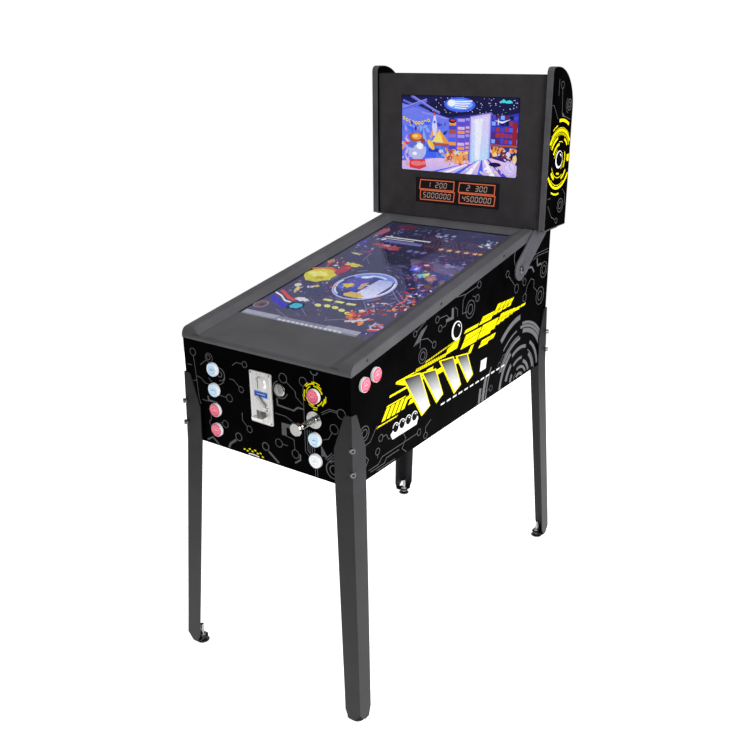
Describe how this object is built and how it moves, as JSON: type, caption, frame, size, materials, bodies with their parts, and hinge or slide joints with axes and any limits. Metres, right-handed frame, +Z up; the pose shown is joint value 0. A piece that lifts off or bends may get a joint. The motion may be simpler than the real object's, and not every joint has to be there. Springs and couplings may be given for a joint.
{
  "type": "pinball machine",
  "caption": "Virtual pinball machine: sloped cabinet with a display under glass, folding backbox with a second display, splayed steel legs, buttons and a shooter rod.",
  "frame": {"origin": "on the floor, under the middle of the object's length and width", "axes": "+X to the player's right, +Y from the player towards the backbox, +Z up"},
  "size_m": [0.5822, 1.0982, 1.474],
  "materials": {
    "printed_board": "fibreboard covered with a printed satin vinyl, black with grey line art",
    "black_board": "fibreboard with a matt black foil",
    "rail_wrap": "moulded board wrapped in a dark grey satin foil",
    "front_board": "fibreboard with a matt charcoal foil",
    "raw_wood": "planed softwood",
    "tempered_glass": "clear tempered glass, polished edges",
    "display_panel": "black glossy display panel behind a lit picture",
    "leg_paint": "folded steel with a dark grey textured powder coat",
    "arm_paint": "steel plate with a satin black powder coat",
    "zinc_steel": "bright zinc-plated steel",
    "chrome": "polished chrome plate",
    "coin_plate_steel": "cast plate with a satin nickel finish",
    "spring_steel": "drawn spring wire",
    "button_red": "translucent red plastic, lit from behind",
    "button_blue": "translucent pale blue plastic, lit from behind",
    "button_white": "translucent white plastic, lit from behind",
    "button_ring_white": "translucent white moulded ring",
    "black_plastic": "black moulded plastic",
    "edge_moulding": "dark grey plastic edge moulding",
    "module_case": "grey case of a bought-in module",
    "circuit_board": "green circuit board"
  },
  "bodies": {
    "root": {"side_panels": "printed_board", "front_panel": "printed_board", "rear_panel": "black_board", "bottom_panel": "black_board", "rear_shelf": "black_board", "side_rails": "rail_wrap", "front_apron": "rail_wrap", "rear_trim": "rail_wrap", "playfield_glass": "tempered_glass", "playfield_display": "display_panel", "inner_supports": "raw_wood", "front_legs": "leg_paint", "rear_legs": "leg_paint", "cabinet_bolts": "zinc_steel", "foot_jam_nuts": "zinc_steel", "button_bezels": "button_ring_white", "button_switches": "black_plastic", "coin_plate": "coin_plate_steel", "coin_acceptor": "black_plastic", "plate_screws": "zinc_steel", "lock_barrel": "chrome", "plunger_housing": "chrome", "plunger_barrel_spring": "spring_steel", "speakers": "black_plastic", "computer": "module_case", "power_supply": "module_case", "io_board": "circuit_board", "mains_inlet": "black_plastic", "fan_frame": "black_plastic", "plunger_spring": "spring_steel"},
    "backbox": {"backbox_sides": "printed_board", "backbox_edge_trims": "edge_moulding", "backbox_front_board": "front_board", "backbox_floor": "black_board", "backbox_roof": "black_board", "backbox_display": "display_panel", "score_display": "display_panel", "hinge_arms": "arm_paint", "backbox_rear_cover": "black_board"},
    "button_left_1": {"button_left_1": "button_blue"},
    "button_left_2": {"button_left_2": "button_blue"},
    "button_left_3": {"button_left_3": "button_red"},
    "button_left_4": {"button_left_4": "button_red"},
    "launch_button": {"launch_button": "button_red"},
    "button_right_3": {"button_right_3": "button_blue"},
    "button_right_4": {"button_right_4": "button_white"},
    "flipper_button_right_front": {"flipper_button_right_front": "button_red"},
    "flipper_button_right_rear": {"flipper_button_right_rear": "button_red"},
    "flipper_button_left_front": {"flipper_button_left_front": "button_red"},
    "flipper_button_left_rear": {"flipper_button_left_rear": "button_red"},
    "plunger": {"plunger_rod": "chrome"},
    "coin_lever": {"coin_return_lever": "chrome"},
    "coin_flap": {"coin_return_flap": "zinc_steel"},
    "lock_plug": {"lock_plug": "chrome"},
    "foot_front_left": {"foot_front_left": "chrome"},
    "foot_front_right": {"foot_front_right": "chrome"},
    "foot_rear_left": {"foot_rear_left": "chrome"},
    "foot_rear_right": {"foot_rear_right": "chrome"},
    "rocker": {"rocker_switch": "black_plastic"},
    "fan_rotor": {"fan_rotor": "black_plastic"}
  },
  "joints": [
    {"name": "backbox_fold", "type": "hinge", "parent": "root", "child": "backbox", "pos_m": [0, 0.30493, 0.948], "axis": [1, 0, 0], "range_deg": [0, 92]},
    {"name": "button_left_1_press", "type": "slide", "parent": "root", "child": "button_left_1", "axis": [0, 1, 0], "range_m": [0, 0.0035], "stiffness_N_per_m": 400, "springref_m": -0.0015},
    {"name": "button_left_2_press", "type": "slide", "parent": "root", "child": "button_left_2", "axis": [0, 1, 0], "range_m": [0, 0.0035], "stiffness_N_per_m": 400, "springref_m": -0.0015},
    {"name": "button_left_3_press", "type": "slide", "parent": "root", "child": "button_left_3", "axis": [0, 1, 0], "range_m": [0, 0.0035], "stiffness_N_per_m": 400, "springref_m": -0.0015},
    {"name": "button_left_4_press", "type": "slide", "parent": "root", "child": "button_left_4", "axis": [0, 1, 0], "range_m": [0, 0.0035], "stiffness_N_per_m": 400, "springref_m": -0.0015},
    {"name": "launch_button_press", "type": "slide", "parent": "root", "child": "launch_button", "axis": [0, 1, 0], "range_m": [0, 0.0035], "stiffness_N_per_m": 400, "springref_m": -0.0015},
    {"name": "button_right_3_press", "type": "slide", "parent": "root", "child": "button_right_3", "axis": [0, 1, 0], "range_m": [0, 0.0035], "stiffness_N_per_m": 400, "springref_m": -0.0015},
    {"name": "button_right_4_press", "type": "slide", "parent": "root", "child": "button_right_4", "axis": [0, 1, 0], "range_m": [0, 0.0035], "stiffness_N_per_m": 400, "springref_m": -0.0015},
    {"name": "flipper_button_right_front_press", "type": "slide", "parent": "root", "child": "flipper_button_right_front", "axis": [-1, 0, 0], "range_m": [0, 0.0035], "stiffness_N_per_m": 400, "springref_m": -0.0015},
    {"name": "flipper_button_right_rear_press", "type": "slide", "parent": "root", "child": "flipper_button_right_rear", "axis": [-1, 0, 0], "range_m": [0, 0.0035], "stiffness_N_per_m": 400, "springref_m": -0.0015},
    {"name": "flipper_button_left_front_press", "type": "slide", "parent": "root", "child": "flipper_button_left_front", "axis": [1, 0, 0], "range_m": [0, 0.0035], "stiffness_N_per_m": 400, "springref_m": -0.0015},
    {"name": "flipper_button_left_rear_press", "type": "slide", "parent": "root", "child": "flipper_button_left_rear", "axis": [1, 0, 0], "range_m": [0, 0.0035], "stiffness_N_per_m": 400, "springref_m": -0.0015},
    {"name": "plunger_pull", "type": "slide", "parent": "root", "child": "plunger", "axis": [0, -1, 0], "range_m": [-0.008, 0.045], "stiffness_N_per_m": 250, "deforming": ["plunger_spring", "plunger_barrel_spring"]},
    {"name": "coin_lever_turn", "type": "hinge", "parent": "root", "child": "coin_lever", "pos_m": [-0.01, -0.48207, 0.7765], "axis": [0, 1, 0], "range_deg": [0, 25], "stiffness_Nm_per_rad": 0.02, "springref_deg": -5.73},
    {"name": "coin_flap_swing", "type": "hinge", "parent": "root", "child": "coin_flap", "pos_m": [-0.006, -0.48017, 0.7442], "axis": [1, 0, 0], "range_deg": [0, 60]},
    {"name": "lock_turn", "type": "hinge", "parent": "root", "child": "lock_plug", "pos_m": [0.053, -0.48207, 0.807], "axis": [0, 1, 0], "range_deg": [0, 90]},
    {"name": "foot_front_left_level", "type": "slide", "parent": "root", "child": "foot_front_left", "axis": [0, 0, -1], "range_m": [0, 0.02]},
    {"name": "foot_front_right_level", "type": "slide", "parent": "root", "child": "foot_front_right", "axis": [0, 0, -1], "range_m": [0, 0.02]},
    {"name": "foot_rear_left_level", "type": "slide", "parent": "root", "child": "foot_rear_left", "axis": [0, 0, -1], "range_m": [0, 0.02]},
    {"name": "foot_rear_right_level", "type": "slide", "parent": "root", "child": "foot_rear_right", "axis": [0, 0, -1], "range_m": [0, 0.02]},
    {"name": "rocker_tip", "type": "hinge", "parent": "root", "child": "rocker", "pos_m": [-0.15, 0.50793, 0.704], "axis": [1, 0, 0], "range_deg": [0, 12]},
    {"name": "fan_spin", "type": "hinge", "parent": "root", "child": "fan_rotor", "pos_m": [0.13, 0.48293, 0.8], "axis": [0, 1, 0], "continuous": true}
  ]
}
